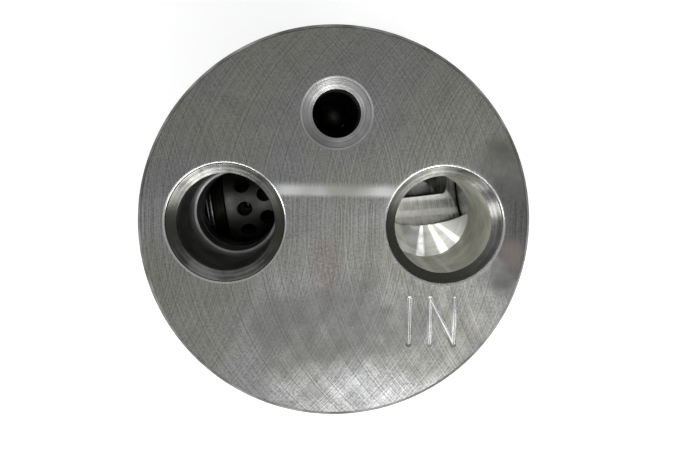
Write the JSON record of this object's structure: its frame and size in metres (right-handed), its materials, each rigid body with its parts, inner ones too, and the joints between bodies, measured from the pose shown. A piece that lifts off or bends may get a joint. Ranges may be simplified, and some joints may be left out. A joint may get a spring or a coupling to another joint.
{
  "type": "screw-in cartridge relief valve with body",
  "caption": "Round steel valve body with inlet, outlet and gauge ports in its top face, and a screw-in relief cartridge lying across it.",
  "frame": {"origin": "centre of the flat base", "axes": "+Z along the body's axis to the port face, +X towards the inlet port, +Y towards the gauge port"},
  "size_m": [0.0778, 0.07, 0.078],
  "materials": {
    "body_steel": "milled and turned steel, satin",
    "cage_steel": "turned steel, lightly oiled",
    "hard_steel": "hardened and ground, bright",
    "zinc_plate": "zinc-plated steel, semi-bright",
    "spring_steel": "shot-peened spring wire",
    "rubber": "matt nitrile rubber",
    "ptfe": "waxy PTFE",
    "bronze": "sintered bronze, satin"
  },
  "bodies": {
    "valve": {"valve_body": "body_steel", "nose_sleeve": "hard_steel", "seat_ring": "hard_steel", "outlet_cage": "cage_steel", "adapter_plug": "zinc_plate", "sleeve_o_ring": "rubber", "backup_ring_inlet": "ptfe", "backup_ring_outlet": "ptfe", "plug_o_ring": "rubber", "gallery_plug": "zinc_plate", "gallery_plug_o_ring": "rubber", "gauge_passage_plug": "zinc_plate", "passage_plug_seal": "bronze"},
    "poppet_group": {"poppet": "hard_steel", "poppet_guide_ring": "bronze", "spring_shim": "hard_steel", "poppet_spring": "spring_steel"},
    "spring_seat_group": {"spring_seat": "hard_steel", "thrust_ball": "hard_steel"},
    "adjuster": {"adjusting_screw": "zinc_plate", "adjuster_o_ring": "rubber"},
    "washer": {"sealing_washer": "zinc_plate"},
    "nut": {"lock_nut": "zinc_plate"}
  },
  "joints": [
    {"name": "poppet_lift", "type": "slide", "parent": "valve", "child": "poppet_group", "axis": [-0.9863, -0.165, 0], "range_m": [0, 0.002], "stiffness_N_per_m": 800, "springref_m": -0.004, "deforming": ["poppet_spring"]},
    {"name": "adjuster_advance", "type": "slide", "parent": "valve", "child": "spring_seat_group", "axis": [0.9863, 0.165, 0], "range_m": [0, 0.0025]},
    {"name": "adjuster_turn", "type": "hinge", "parent": "spring_seat_group", "child": "adjuster", "pos_m": [-0.04225, -0.00379, 0.0308], "axis": [0.9863, 0.165, 0], "range_deg": [0, 900]},
    {"name": "washer_travel", "type": "slide", "parent": "valve", "child": "washer", "axis": [-0.9863, -0.165, 0], "range_m": [0, 0.0015]},
    {"name": "lock_nut_turn", "type": "hinge", "parent": "washer", "child": "nut", "pos_m": [-0.04028, -0.00346, 0.0308], "axis": [-0.9863, -0.165, 0], "range_deg": [0, 540]}
  ],
  "couplings": [
    {"joint": "adjuster_turn", "follows": "adjuster_advance", "rad_per_m": 6283.2},
    {"joint": "lock_nut_turn", "follows": "washer_travel", "rad_per_m": 6283.2}
  ]
}
